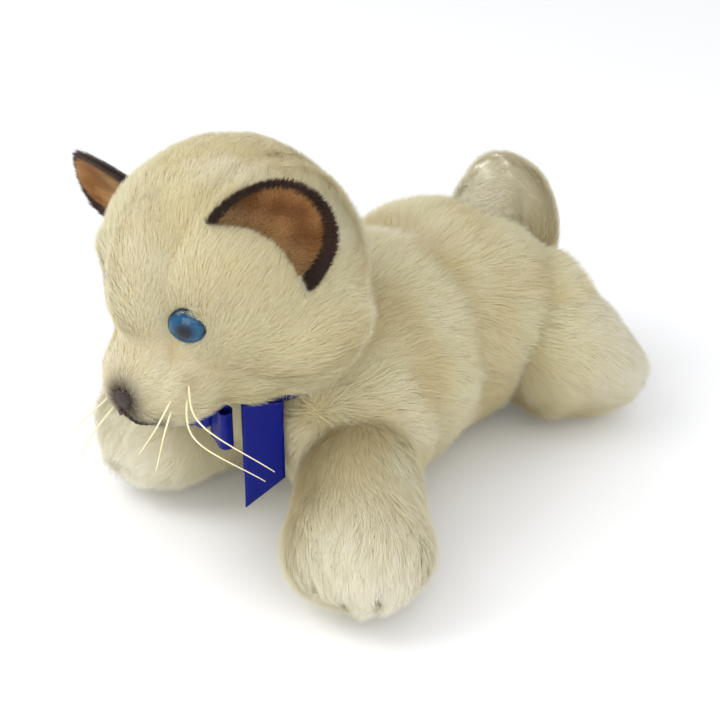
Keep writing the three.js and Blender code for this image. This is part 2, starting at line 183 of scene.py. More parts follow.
def stuffed(stations, sideways=None, inset=0.0, around=48, along=40, fullness=2.5):
    """Vertices and faces of a ball drawn out along its stations, in millimetres."""
    polar = np.linspace(0, math.pi, along + 1)[1:-1]
    u = (1 - np.cos(polar)) / 2
    here = spline(stations, u)
    tangent = unit(spline(stations, u + 0.004)[:, :3] - spline(stations, u - 0.004)[:, :3])
    up = np.array(sideways if sideways else (0, 0, 1.0))
    side = unit(np.cross(up, tangent))
    top = np.cross(tangent, side)
    taper = (1 - np.abs(np.cos(polar)) ** fullness) ** (1 / fullness)
    turn = np.linspace(0, 2 * math.pi, around, endpoint=False)
    half = here[:, 3:5] - inset
    ring = (
        here[:, None, :3]
        + side[:, None] * (np.cos(turn)[None, :, None] * (taper * half[:, 0])[:, None, None])
        + top[:, None] * (np.sin(turn)[None, :, None] * (taper * half[:, 1])[:, None, None])
    )
    ends = spline(stations, np.array([0.0, 1.0]))[:, :3]
    vertices = np.vstack([ring.reshape(-1, 3), ends])
    faces = []
    rings = len(polar)
    for r in range(rings - 1):
        for k in range(around):
            n = (k + 1) % around
            faces.append((r * around + k, r * around + n, (r + 1) * around + n, (r + 1) * around + k))
    first, last = rings * around, rings * around + 1
    for k in range(around):
        n = (k + 1) % around
        faces.append((first, n, k))
        faces.append((last, (rings - 1) * around + k, (rings - 1) * around + n))
    return vertices, faces


def lump(centre, half, around=48, along=32):
    """Vertices and faces of an ellipsoid, in millimetres."""
    (x, y, z), (a, b, c) = centre, half
    row = [(x, y - b, z, a, c), (x, y, z, a, c), (x, y + b, z, a, c)]
    return stuffed(row, around=around, along=along, fullness=2.0)


def soft_form(name, parts, place, voxel=2.2, smooth=6):
    """Closed forms joined into one skin, with the creases between them rounded."""
    vertices, faces = [], []
    for v, f in parts:
        start = sum(len(x) for x in vertices)
        vertices.append(v)
        faces += [tuple(i + start for i in face) for face in f]
    world = [place @ Vector(p * MM) for p in np.vstack(vertices)]
    made = mesh_object(name, world, faces)
    remesh = made.modifiers.new("skin", "REMESH")
    remesh.mode = "VOXEL"
    remesh.voxel_size = voxel * MM
    relax = made.modifiers.new("relax", "SMOOTH")
    relax.factor = 0.5
    relax.iterations = smooth
    return smooth_shaded(evaluated_mesh(made))


def flat_below(thing, height=0.0):
    """Lays the form on the floor: what would be lower is pressed flat."""
    co = coords(thing.data)
    co[:, 2] = np.maximum(co[:, 2], height)
    thing.data.vertices.foreach_set("co", co.astype(np.float32).ravel())
    thing.data.update()


def both_sides(centre, half):
    x, y, z = centre
    return [lump(centre, half), lump((-x, y, z), half)]


def head_parts():
    return [lump(*SKULL), lump(*MUZZLE), lump(*BRIDGE)] + both_sides(*CHEEKS) + both_sides(*JOWLS)


def leg_frame(name):
    at = JOINT_AT[name + "_swing"]
    return Matrix.Translation((at.x, at.y, 0)) @ Matrix.Rotation(math.radians(LEGS[name][1]), 4, "Z")


# ---- Pile -----------------------------------------------------------------------------

def set_field(mesh, name, kind, values):
    field = mesh.attributes.get(name) or mesh.attributes.new(name, kind, "POINT")
    key = {"FLOAT_VECTOR": "vector", "FLOAT": "value", "FLOAT_COLOR": "color"}[kind]
    field.data.foreach_set(key, np.asarray(values, np.float32).ravel())


def fibre_blade():
    """One tuft of fibres of unit length and width. Its tip leans back to the cloth."""
    blade = mesh_object("fibre_blade", [(-0.5, 0, 0), (0.5, 0, 0), (0, -0.16, 1)], [(0, 2, 1)])
    set_field(blade.data, "height", "FLOAT", [0, 0, 1])
    return blade


def pile_tree():
    """Geometry nodes that stand combed fibres on a skin.

    The skin carries lay (the combing direction), pile (length against the full one) and tint."""
    tree = bpy.data.node_groups.new("Combed pile", "GeometryNodeTree")
    face = tree.interface
    face.new_socket("Geometry", in_out="INPUT", socket_type="NodeSocketGeometry")
    for name, kind in (
        ("Blade", "NodeSocketObject"), ("Fibre", "NodeSocketMaterial"), ("Density", "NodeSocketFloat"),
        ("Length", "NodeSocketFloat"), ("Width", "NodeSocketFloat"), ("Lift", "NodeSocketFloat"),
        ("Wisp Size", "NodeSocketFloat"), ("Wisp Pull", "NodeSocketFloat"),
        ("Root Shade", "NodeSocketColor"), ("Seed", "NodeSocketInt"), ("Part", "NodeSocketInt"),
    ):
        face.new_socket(name, in_out="INPUT", socket_type=kind)
    face.new_socket("Geometry", in_out="OUTPUT", socket_type="NodeSocketGeometry")
    given = tree.nodes.new("NodeGroupInput").outputs

    def node(kind, settings=(), **links):
        return add_node(tree, kind, settings, **links)

    def numbered(values):
        return {f"i{i}": value for i, value in enumerate(values)}

    def math_node(operation, *values):
        return node("ShaderNodeMath", {"operation": operation}, **numbered(values)).outputs[0]

    def vector(operation, *values, **extra):
        links = {**numbered(values), **extra}
        return node("ShaderNodeVectorMath", {"operation": operation}, **links).outputs[0]

    def named(name, kind):
        return node("GeometryNodeInputNamedAttribute", {"data_type": kind}, Name=name).outputs["Attribute"]

    on_part = node(
        "FunctionNodeCompare", {"data_type": "INT", "operation": "EQUAL"},
        i2=named("part", "INT"), i3=given["Part"],
    )
    roots = node(
        "GeometryNodeDistributePointsOnFaces", {"distribute_method": "RANDOM"},
        Mesh=given["Geometry"], Density=given["Density"], Seed=given["Seed"], Selection=on_part.outputs[0],
    )
    normal = roots.outputs["Normal"]
    lay, pile, tint = named("lay", "FLOAT_VECTOR"), named("pile", "FLOAT"), named("tint", "FLOAT_COLOR")
    position = node("GeometryNodeInputPosition").outputs[0]

    def drift(size, amount, offset):
        """A smooth random vector over the cloth."""
        scale = math_node("DIVIDE", 1.0, size)
        at = vector("ADD", position, offset)
        noise = node("ShaderNodeTexNoise", {"noise_dimensions": "3D"}, Vector=at, Scale=scale, Detail=1.0)
        centred = vector("SUBTRACT", noise.outputs["Color"], (0.5, 0.5, 0.5))
        return vector("SCALE", centred, Scale=amount)

    swirl = drift(26 * MM, 1.5, (0.3, 0.1, 0.2))
    wisp = drift(given["Wisp Size"], given["Wisp Pull"], (0.7, 0.5, 0.9))
    stray = node(
        "FunctionNodeRandomValue", {"data_type": "FLOAT_VECTOR"},
        i0=(-0.22, -0.22, -0.22), i1=(0.22, 0.22, 0.22), Seed=given["Seed"],
    ).outputs[0]
    flat = vector("ADD", vector("ADD", lay, swirl), vector("ADD", wisp, stray))
    along_normal = node(
        "ShaderNodeVectorMath", {"operation": "DOT_PRODUCT"}, i0=flat, i1=normal,
    ).outputs["Value"]
    on_cloth = vector("NORMALIZE", vector("SUBTRACT", flat, vector("SCALE", normal, Scale=along_normal)))
    random_one = node(
        "FunctionNodeRandomValue", {"data_type": "FLOAT"}, i2=0.75, i3=1.2, Seed=given["Seed"],
    ).outputs[1]
    lift = math_node("MULTIPLY", given["Lift"], random_one)
    direction = vector(
        "NORMALIZE",
        vector("ADD", vector("SCALE", on_cloth, Scale=math_node("COSINE", lift)),
               vector("SCALE", normal, Scale=math_node("SINE", lift))),
    )
    turn = node(
        "FunctionNodeAxesToRotation", {"primary_axis": "Z", "secondary_axis": "Y"},
        Primary_Axis=direction, Secondary_Axis=normal,
    ).outputs[0]
    roll = node(
        "FunctionNodeRandomValue", {"data_type": "FLOAT"}, i2=-0.6, i3=0.6, Seed=given["Seed"],
    ).outputs[1]
    about_fibre = node("FunctionNodeAxisAngleToRotation", Axis=(0, 0, 1), Angle=roll).outputs[0]
    turned = node(
        "FunctionNodeRotateRotation", {"rotation_space": "LOCAL"}, Rotation=turn, Rotate_By=about_fibre,
    ).outputs[0]
    length = math_node("MULTIPLY", math_node("MULTIPLY", given["Length"], pile), random_one)
    size = node("ShaderNodeCombineXYZ", X=given["Width"], Y=length, Z=length).outputs[0]

    kept = roots.outputs["Points"]
    for name, kind, value in (("skin_normal", "FLOAT_VECTOR", normal), ("hue", "FLOAT_COLOR", tint)):
        kept = node(
            "GeometryNodeStoreNamedAttribute", {"data_type": kind, "domain": "POINT"},
            Geometry=kept, Name=name, Value=value,
        ).outputs[0]
    blade = node("GeometryNodeObjectInfo", Object=given["Blade"]).outputs["Geometry"]
    standing = node(
        "GeometryNodeInstanceOnPoints", Points=kept, Instance=blade, Rotation=turned, Scale=size,
    ).outputs[0]
    real = node("GeometryNodeRealizeInstances", Geometry=standing).outputs[0]
    height = named("height", "FLOAT")
    # Painted shade: towards each blade's root its colour is multiplied by the root colour, standing for the
    # shade deep in the pile.
    shaded = node(
        "ShaderNodeMix", {"data_type": "RGBA", "blend_type": "MULTIPLY"},
        i0=math_node("SUBTRACT", 1.0, math_node("POWER", height, 0.7)),
        i6=named("hue", "FLOAT_COLOR"), i7=given["Root Shade"],
    ).outputs[2]
    painted = node(
        "GeometryNodeStoreNamedAttribute", {"data_type": "FLOAT_COLOR", "domain": "POINT"},
        Geometry=real, Name="fibre_colour", Value=shaded,
    ).outputs[0]
    dressed = node("GeometryNodeSetMaterial", Geometry=painted, Material=given["Fibre"]).outputs[0]
    out = tree.nodes.new("NodeGroupOutput")
    tree.links.new(dressed, out.inputs[0])
    return tree


def grow_pile(name, skin, tree, blade, material, seed, part=0, density=5.0, length=9.0, width=0.3,
              lift=0.5, wisp_size=6.0, wisp_pull=1.1, painted_root_shade="#E8DDB8"):
    """Pile on one part of a skin as a plain mesh. Density is fibres for each square millimetre; the root
    colour is painted shade, multiplied in towards each fibre's root.
    """
    made = bpy.data.objects.new(name, skin.data.copy())
    bpy.context.scene.collection.objects.link(made)
    grower = made.modifiers.new("pile", "NODES")
    grower.node_group = tree
    values = {
        "Blade": blade, "Fibre": material, "Density": density / MM ** 2, "Length": length * MM,
        "Width": width * MM, "Lift": lift, "Wisp Size": wisp_size * MM, "Wisp Pull": wisp_pull,
        "Root Shade": rgb(painted_root_shade), "Seed": seed, "Part": part,
    }
    for item in tree.interface.items_tree:
        if item.in_out == "INPUT" and item.name in values:
            grower[item.identifier] = values[item.name]
    evaluated_mesh(made)
    mesh = made.data
    facing = np.empty(len(mesh.vertices) * 3, np.float32)
    mesh.attributes["skin_normal"].data.foreach_get("vector", facing)
    facing = facing.reshape(-1, 3)
    own = normals(mesh)
    own *= np.sign(np.sum(own * facing, axis=1, keepdims=True))
    mesh.normals_split_custom_set_from_vertices(unit(0.62 * facing + 0.38 * own))
    for spare in ("skin_normal", "hue", "height", "lay", "pile", "tint", "part"):
        if spare in mesh.attributes:
            mesh.attributes.remove(mesh.attributes[spare])
    return made


# ---- Materials ------------------------------------------------------------------------

def material(name):
    """A new material with its Principled shader and output."""
    made = bpy.data.materials.new(name)
    made.use_nodes = True
    return made, made.node_tree, made.node_tree.nodes["Principled BSDF"]


def clouded(tree, size, first, second, detail):
    """Noise of a size in millimetres on the piece's own place, and two colours mixed by it."""
    place = add_node(tree, "ShaderNodeTexCoord").outputs["Object"]
    noise = add_node(tree, "ShaderNodeTexNoise", Vector=place, Scale=1 / (size * MM), Detail=detail)
    colours = add_node(
        tree, "ShaderNodeMix", {"data_type": "RGBA"},
        i0=noise.outputs["Fac"], i6=rgb(first), i7=rgb(second),
    )
    return place, noise, colours


def colour_and_relief(tree, shader, colours, bumps):
    """Feeds a colour mix and a relief to a shader."""
    tree.links.new(colours.outputs[2], shader.inputs["Base Color"])
    tree.links.new(bumps.outputs[0], shader.inputs["Normal"])


def combed_fibre():
    """Cut polyester pile: matt, a little brighter along its edges, its colour holding painted shade, darker
    towards each root and warm in the creases.
    The shader is in a group, which keeps the fibres' own colours when the model is exported."""
    inner = bpy.data.node_groups.new("Dyed fibre", "ShaderNodeTree")
    inner.interface.new_socket("BSDF", in_out="OUTPUT", socket_type="NodeSocketShader")
    # The fibre colour carries painted shade, darker towards the roots and warm in the creases.
    fibre_colour_with_painted_shade = add_node(inner, "ShaderNodeVertexColor", {"layer_name": "fibre_colour"})
    shader = add_node(
        inner, "ShaderNodeBsdfPrincipled",
        Base_Color=fibre_colour_with_painted_shade.outputs[0], Roughness=0.62, Sheen_Weight=0.35, Sheen_Roughness=0.45,
        Specular_IOR_Level=0.25,
    )
    shader.inputs["Sheen Tint"].default_value = rgb("#FFF6E4")
    glow = add_node(inner, "ShaderNodeBsdfTranslucent", Color=fibre_colour_with_painted_shade.outputs[0])
    both = add_node(inner, "ShaderNodeMixShader", i0=0.4, i1=shader.outputs[0], i2=glow.outputs[0])
    out = add_node(inner, "NodeGroupOutput")
    inner.links.new(both.outputs[0], out.inputs[0])
    made = bpy.data.materials.new("combed_polyester_pile")
    made.use_nodes = True
    tree = made.node_tree
    tree.nodes.remove(tree.nodes["Principled BSDF"])
    group = add_node(tree, "ShaderNodeGroup", {"node_tree": inner})
    tree.links.new(group.outputs[0], tree.nodes["Material Output"].inputs["Surface"])
    return made


def knit_backing(name, colour, deep):
    """The knitted cloth that the pile is tied into: small mottles, and no shine."""
    made, tree, shader = material(name)
    place, _, colours = clouded(tree, 3, colour, deep, 2.0)
    knit = add_node(tree, "ShaderNodeTexVoronoi", Vector=place, Scale=1 / (1.2 * MM)).outputs["Distance"]
    bumps = add_node(tree, "ShaderNodeBump", Height=knit, Strength=0.4, Distance=0.3 * MM)
    colour_and_relief(tree, shader, colours, bumps)
    shader.inputs["Roughness"].default_value = 0.95
    return made


def eye_plastic():
    """Clear domed plastic over a painted disc: teal iris with fine rays, black pupil, a dark rim."""
    made, tree, shader = material("painted_eye_under_clear_dome")
    disc = add_node(tree, "ShaderNodeAttribute", {"attribute_name": "disc"})
    rays = add_node(
        tree, "ShaderNodeTexNoise", {"noise_dimensions": "3D"},
        Vector=disc.outputs["Vector"], Scale=7.0, Detail=3.0,
    )
    from_middle = add_node(tree, "ShaderNodeVectorMath", {"operation": "LENGTH"}, i0=disc.outputs["Vector"])
    wavy = add_node(tree, "ShaderNodeMath", {"operation": "MULTIPLY_ADD"},
                    i0=rays.outputs["Fac"], i1=0.1, i2=from_middle.outputs["Value"])
    rings = add_node(tree, "ShaderNodeValToRGB", Fac=wavy.outputs[0])
    ramp = rings.color_ramp
    stops = (
        (0.0, "#010406"), (0.34, "#021019"), (0.5, "#042F49"),
        (0.78, "#084C6E"), (0.95, "#05344F"), (1.0, "#042538"),
    )
    for spot, colour in stops[1:-1]:
        ramp.elements.new(spot).color = rgb(colour)
    ramp.elements[0].color, ramp.elements[-1].color = rgb(stops[0][1]), rgb(stops[-1][1])
    tree.links.new(rings.outputs["Color"], shader.inputs["Base Color"])
    shader.inputs["Roughness"].default_value = 0.06
    shader.inputs["Specular IOR Level"].default_value = 0.4
    return made


def satin():
    """Woven polyester satin: long floats along the ribbon give a streaked sheen, in the relief and as
    painted sheen in the colour.
    """
    made, tree, shader = material("royal_blue_satin")
    weave = add_node(tree, "ShaderNodeAttribute", {"attribute_name": "weave"}).outputs["Vector"]
    across = add_node(tree, "ShaderNodeSeparateXYZ", Vector=weave)
    drawn_out = add_node(
        tree, "ShaderNodeVectorMath", {"operation": "MULTIPLY"}, i0=weave, i1=(3.2, 0.18, 1.0),
    ).outputs[0]
    floats = add_node(tree, "ShaderNodeTexNoise", Vector=drawn_out, Scale=1.0, Detail=3.0)
    # Painted sheen: the colour is streaked lighter and darker along the floats.
    colours = add_node(tree, "ShaderNodeMix", {"data_type": "RGBA"},
                       i0=floats.outputs["Fac"], i6=rgb("#030A5E"), i7=rgb("#07187E"))
    spacing = add_node(tree, "ShaderNodeMath", {"operation": "MULTIPLY"}, i0=across.outputs["X"], i1=16.0)
    ribs = add_node(tree, "ShaderNodeMath", {"operation": "SINE"}, i0=spacing.outputs[0])
    height = add_node(tree, "ShaderNodeMath", {"operation": "MULTIPLY_ADD"},
                      i0=ribs.outputs[0], i1=0.2, i2=floats.outputs["Fac"])
    bumps = add_node(tree, "ShaderNodeBump", Height=height.outputs[0], Strength=0.35, Distance=0.12 * MM)
    colour_and_relief(tree, shader, colours, bumps)
    shader.inputs["Roughness"].default_value = 0.34
    shader.inputs["Anisotropic"].default_value = 0.5
    shader.inputs["Specular IOR Level"].default_value = 0.2
    return made


def floss(name, colour, light):
    """Embroidery floss: strands laid side by side in relief, with a soft shine painted along them as
    lighter bands in the colour.
    """
    made, tree, shader = material(name)
    place = add_node(tree, "ShaderNodeTexCoord").outputs["Object"]
    twist = add_node(tree, "ShaderNodeTexWave", {"bands_direction": "DIAGONAL"},
                     Vector=place, Scale=0.35 / MM, Distortion=2.0, Detail=2.0)
    # Painted shine: the lighter colour follows the strands' twist.
    colours = add_node(tree, "ShaderNodeMix", {"data_type": "RGBA"},
                       i0=twist.outputs["Fac"], i6=rgb(colour), i7=rgb(light))
    bumps = add_node(tree, "ShaderNodeBump", Height=twist.outputs["Fac"], Strength=0.5, Distance=0.15 * MM)
    colour_and_relief(tree, shader, colours, bumps)
    shader.inputs["Roughness"].default_value = 0.55
    return made


def nylon_bristle():
    """Cream nylon bristle: slightly clear, with thicker and thinner lengths in it."""
    made, tree, shader = material("cream_nylon_bristle")
    _, _, colours = clouded(tree, 4, "#F4ECCB", "#DCCB92", 1.0)
    tree.links.new(colours.outputs[2], shader.inputs["Base Color"])
    shader.inputs["Roughness"].default_value = 0.3
    return made


def staple_filling():
    """Loose polyester staple: white, with soft lumps."""
    made, tree, shader = material("polyester_staple_filling")
    _, lumps, colours = clouded(tree, 7, "#FBFAF6", "#E2DFD6", 5.0)
    bumps = add_node(tree, "ShaderNodeBump", Height=lumps.outputs["Fac"], Strength=0.8, Distance=2 * MM)
    colour_and_relief(tree, shader, colours, bumps)
    shader.inputs["Roughness"].default_value = 1.0
    return made


def washer_plastic():
    """Moulded polypropylene: off-white, faintly clouded."""
    made, tree, shader = material("moulded_white_washer")
    _, _, colours = clouded(tree, 5, "#EDEDE9", "#DADAD4", 2.0)
    tree.links.new(colours.outputs[2], shader.inputs["Base Color"])
    shader.inputs["Roughness"].default_value = 0.5
    return made


FIBRE = combed_fibre()
CREAM_BACKING = knit_backing("cream_knit_backing", "#EFE3C6", "#E0CC9E")
TAN_BACKING = knit_backing("caramel_knit_backing", "#B0814C", "#8E6336")
BROWN_BACKING = knit_backing("brown_knit_backing", "#3F2B26", "#2B1B18")
EYE = eye_plastic()
SATIN = satin()
DARK_FLOSS = floss("black_brown_floss", "#1D1411", "#40302A")
NYLON = nylon_bristle()
STAPLE = staple_filling()
POUCH = knit_backing("grey_pouch_cloth", "#DCD8CC", "#C4BEB0")
WASHER = washer_plastic()


def wear(thing, finish, body, slot, *stands_for):
    """Gives a finished piece its material and its body, and hides the CAD nodes it stands for. slot is not
    used.
    """
    thing.data.materials.clear()
    thing.data.materials.append(finish)
    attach(thing, body)
    if stands_for:
        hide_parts(*stands_for)
    return thing


# ---- Combing --------------------------------------------------------------------------

CREAM = np.array(rgb("#F0EED6"))
PALE = np.array(rgb("#F7F7F0"))
WARM = np.array(rgb("#DECB96"))
GREY = np.array(rgb("#A89F8E"))
SMUDGE = np.array(rgb("#54433A"))
TAN = np.array(rgb("#A8763C"))
TAN_LIGHT = np.array(rgb("#D8AC70"))
BROWN = np.array(rgb("#45302A"))


def mixed(a, b, share):
    share = np.asarray(share, float)[:, None]
    return a * (1 - share) + b * share


def drifts(points, size, seed):
    """Smooth random values from -1 to 1 over points, with bumps of about size."""
    random = np.random.default_rng(seed)
    total = np.zeros(len(points))
    for _ in range(7):
        way = unit(random.normal(size=3))
        pace = 2 * math.pi / (size * random.uniform(0.8, 2.2))
        total += np.sin(points @ way * pace + random.uniform(0, 6.3))
    return total / 4


def hollows(mesh, rounds=30):
    """How far each vertex lies below its smoothed surroundings, in metres: positive in a crease."""
    co = coords(mesh)
    ends = np.empty(len(mesh.edges) * 2, np.int32)
    mesh.edges.foreach_get("vertices", ends)
    a, b = ends[::2], ends[1::2]
    count = np.bincount(ends, minlength=len(co))[:, None]
    smooth = co.copy()
    for _ in range(rounds):
        total = np.zeros_like(smooth)
        np.add.at(total, a, smooth[b])
        np.add.at(total, b, smooth[a])
        smooth = 0.5 * smooth + 0.5 * total / count
    return np.sum((smooth - co) * normals(mesh), axis=1)


def sink(thing, depth):
    """Moves vertices inwards, by one depth or by one for each."""
    co = coords(thing.data)
    co -= normals(thing.data) * np.broadcast_to(np.asarray(depth, float).reshape(-1, 1), (len(co), 1))
    thing.data.vertices.foreach_set("co", co.astype(np.float32).ravel())
    thing.data.update()
    return thing


def tint_with_painted_shade(mesh, base, seed, warm=1.0):
    """Cream pile colour: painted shade, warm tan, in the creases, and soft random patches, warmer and
    paler, partly the pile's own tone and partly painted sheen of the swirled pile.
    """
    co = coords(mesh)
    crease = smoothstep(0.0, 2.2 * MM, hollows(mesh))
    patch = smoothstep(-0.6, 1.0, drifts(co, 30 * MM, seed))
    # Painted shade: WARM is mixed into the creases, where shade falls, and into soft random patches that
    # are partly the pile's own tone and partly painted sheen.
    colour = mixed(base, WARM, np.clip(warm * (0.08 + 0.42 * patch + 0.85 * crease), 0, 1))
    # Paler soft random patches: partly the pile's own tone, partly painted sheen of the swirled pile.
    colour = mixed(colour, PALE, 0.5 * smoothstep(0.2, 1.3, drifts(co, 24 * MM, seed + 50)))
    return colour, crease


def near_floor(co):
    return 1 - smoothstep(2 * MM, 14 * MM, co[:, 2])


def comb(skin, lay, pile, tint, part=None):
    """Stores the combing on a skin."""
    mesh = skin.data
    set_field(mesh, "lay", "FLOAT_VECTOR", unit(lay))
    set_field(mesh, "pile", "FLOAT", np.clip(pile, 0.05, 1.6))
    set_field(mesh, "tint", "FLOAT_COLOR", tint)
    number = mesh.attributes.new("part", "INT", "FACE")
    if part is not None:
        centre = np.empty(len(mesh.polygons) * 3, np.float32)
        mesh.polygons.foreach_get("center", centre)
        number.data.foreach_set("value", part(centre.reshape(-1, 3).astype(float)).astype(np.int32))


PILE_TREE = pile_tree()
BLADE = fibre_blade()
PILES = []


def pile_pieces(skin, body, slot, names, **settings):
    """One piece of pile for each part of a skin. A part with no name stays bare."""
    for number, name in enumerate(names):
        if name:
            seed = 11 + len(PILES)
            made = grow_pile(
                name, skin, PILE_TREE, BLADE, FIBRE, seed, part=number,
                **settings.get(name, {}), **settings["all"],
            )
            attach(made, body)
            PILES.append(made)


# ---- Torso ----------------------------------------------------------------------------

SKIN_INSET = 2.4 * MM
LEG_INSET = 4.2 * MM
HAUNCH = ((27, 78, 40), (32, 30, 36))
SHOULDER = ((27, -32, 42), (30, 32, 34))


def in_cat(co):
    """Millimetres in the cat's own frame."""
    return (co - np.array(CAT)) / MM


def torso_pieces():
    skin = soft_form(
        "torso_skin", [stuffed(TORSO)] + both_sides(*HAUNCH) + both_sides(*SHOULDER), BODY_FRAME, smooth=14,
    )
    local = in_cat(coords(skin.data))
    x, y = local[:, 0], local[:, 1]
    spine = 0.9 * bump(x, 3.5) * smoothstep(60, 80, local[:, 2])
    waist = 2.2 * bump(y - 26 + 0.12 * np.abs(x), 9) * smoothstep(15, 45, local[:, 2])
    ripple = 1.1 * drifts(local, 34, 5)
    sink(skin, SKIN_INSET + (spine + waist + ripple) * MM)
    flat_below(skin, 1 * MM)
    mesh = skin.data
    co, out = coords(mesh), normals(mesh)
    local = in_cat(co)
    side = np.sign(local[:, 0]) * np.abs(out[:, 0])
    lay = np.stack([0.35 * side, np.ones(len(co)), -0.75 * np.abs(out[:, 0])], 1)
    chest = 1 - smoothstep(-80, -45, local[:, 1])
    lay = unit(lay) * (1 - chest[:, None]) + np.array((0, -0.2, -1.0)) * chest[:, None]
    tint, crease = tint_with_painted_shade(mesh, CREAM, 3)
    tint = mixed(tint, PALE, 0.7 * np.maximum(near_floor(co), chest * 0.7))
    pile = (1.05 - 0.35 * crease) * (1 - 0.75 * near_floor(co))

    def part(at):
        p = in_cat(at)
        belly = p[:, 2] < 15
        hidden = (np.linalg.norm(p - np.array((0, -68, 108)), axis=1) < 44)
        return np.where(hidden, 3, np.where(belly, 2, np.where(p[:, 0] > 0, 0, 1)))

    comb(skin, lay, pile, tint, part)
    pile_pieces(
        skin, "torso", "cream_pile", ["back_pile_left", "back_pile_right", "belly_pile"],
        all=dict(length=10.0, width=0.32, lift=0.52),
        back_pile_left=dict(density=6.0), back_pile_right=dict(density=5.5), belly_pile=dict(density=2.5),
    )
    wear(skin, CREAM_BACKING, "torso", "cream_pile", "back_cover_left", "back_cover_right", "belly_cover")


torso_pieces()


# ---- Head -----------------------------------------------------------------------------

EYES = {"left": ((23, -45, 13), (0.5, -0.86, 0.08)), "right": ((-27, -40, 12), (-0.7, -0.71, 0.08))}
BROWS = [(28, -38, 19), (-33, -30, 17)]
EYE_SUNK = {"left": 2.6, "right": 5.0}
EYE_RADIUS = 7.2
LID_REACH = 9.5         # how far round an eye the pile falls over it
EYE_DOME = 4.6
GUSSET_HALF = 15
CHIN_Z = -20
NOSE_AT = np.array((1.5, -65.0, -14.5))
MOUTH = [(-9, -62, -27), (-4.5, -66.5, -25), (0, -68.5, -19.5), (4.5, -66.5, -25), (9, -62, -27)]
TO_HEAD = np.array(HEAD_FRAME.inverted())
HEAD_TURN = np.array(HEAD_FRAME.to_3x3())


def in_head(co):
    """Millimetres in the head's own frame."""
    return (co @ TO_HEAD[:3, :3].T + TO_HEAD[:3, 3]) / MM


def head_pieces():
    skin = soft_form("head_skin", head_parts(), HEAD_FRAME, smooth=16)
    local = in_head(coords(skin.data))
    x, y, z = local.T
    seam = 1.1 * bump(np.abs(x) - GUSSET_HALF, 2.5) * smoothstep(-30, 0, z + 0.4 * y + 30)
    chin = 0.8 * bump(z - CHIN_Z, 2.5) * smoothstep(-50, -20, y)
    from_eyes = [np.linalg.norm(local - np.array(at), axis=1) for at, _ in EYES.values()]
    sockets = sum(2.2 * bump(d, 8.5) for d in from_eyes)
    brows = sum(2.6 * bump(np.linalg.norm(local - np.array(at), axis=1), 6.0) for at in BROWS)
    ripple = 0.7 * drifts(local, 36, 8)
    sink(skin, SKIN_INSET + (seam + chin + sockets - brows + ripple) * MM)
    mesh = skin.data
    co = coords(mesh)
    local = in_head(co)
    x, y, z = local.T
    back = unit(local - NOSE_AT) + np.stack([0 * x, 0 * x, 0.35 + 0 * x], 1)
    cheek = smoothstep(-20, 20, y) * smoothstep(20, -25, z)
    back = back + cheek[:, None] * np.array((0, 0.2, -0.9))
    chin_side = smoothstep(-22, -30, z)
    back = back + chin_side[:, None] * np.array((0, 0.6, -0.4))
    lids = 0 * x
    for (at, _), side in zip(EYES.values(), (1, -1)):
        away = local - np.array(at)
        above = smoothstep(0.1, 0.7, unit(away) @ np.array((0.72 * side, 0, 0.69)))
        lid = bump(np.linalg.norm(away, axis=1), LID_REACH) * above
        back = back * (1 - lid[:, None]) - unit(away) * lid[:, None]
        lids = np.maximum(lids, lid)
    lay = back @ HEAD_TURN.T
    tint, crease = tint_with_painted_shade(mesh, CREAM, 9)
    face = 1 - smoothstep(-62, -20, y)
    tint = mixed(tint, PALE, 0.45 * face)
    tint = mixed(tint, PALE, 0.55 * smoothstep(14, 40, y) * smoothstep(25, -20, z))
    to_nose = np.linalg.norm(local - NOSE_AT, axis=1)
    lips = spline([m + (0, 0) for m in MOUTH], np.linspace(0, 1, 30))[:, :3]
    mouth_line = np.min(np.linalg.norm(local[:, None] - lips[None], axis=2), axis=1)
    tint = mixed(tint, SMUDGE, np.clip(1.2 * bump(to_nose, 5.6), 0, 1))
    tint = mixed(tint, SMUDGE, 0.85 * bump(mouth_line, 4.5))
    for s in (1, -1):
        from_roots = np.linalg.norm(local - np.array((18.0 * s, -50, -12)), axis=1)
        tint = mixed(tint, WARM * 0.8, 0.75 * bump(from_roots, 3.4))
    for d in from_eyes:
        tint = mixed(tint, GREY, 0.2 * bump(d, 11))
    eyes = np.maximum(*(bump(d, 8) for d in from_eyes))
    pile = 0.72 + 0.6 * cheek - 0.3 * face - 0.35 * crease - 0.42 * eyes * (1 - lids) + 0.25 * lids

    def part(at):
        p = in_head(at)
        neck = np.linalg.norm(at - np.array(NECK), axis=1) < 30 * MM
        strip = np.abs(p[:, 0]) < GUSSET_HALF
        below = p[:, 2] < CHIN_Z
        return np.where(neck, 4, np.where(below, 3, np.where(strip, 0, np.where(p[:, 0] > 0, 1, 2))))

    comb(skin, lay, pile, tint, part)
    pile_pieces(
        skin, "head", "cream_pile", ["forehead_pile", "cheek_pile_left", "cheek_pile_right", "chin_pile"],
        all=dict(length=9.5, width=0.3, lift=0.48, density=7.5),
    )
    wear(
        skin, CREAM_BACKING, "head", "cream_pile",
        "forehead_gusset", "cheek_cover_left", "cheek_cover_right", "chin_cover",
    )


head_pieces()


def neck_pieces():
    skin = soft_form("neck_skin", [lump(tuple((NECK - CAT) / MM), (25, 25, 25))], BODY_FRAME, smooth=3)
    mesh = skin.data
    co = coords(mesh)
    tint, _ = tint_with_painted_shade(mesh, CREAM, 4)
    comb(skin, np.tile((0.0, 0.2, -1.0), (len(co), 1)), np.full(len(co), 0.7), tint)
    pile_pieces(skin, "neck", "cream_pile", ["neck_pile"], all=dict(length=7.0, width=0.4, density=2.5))
    wear(skin, CREAM_BACKING, "neck", "cream_pile", "neck_cover")


neck_pieces()


# ---- Legs -----------------------------------------------------------------------------

TOE_SPREAD = 9.5


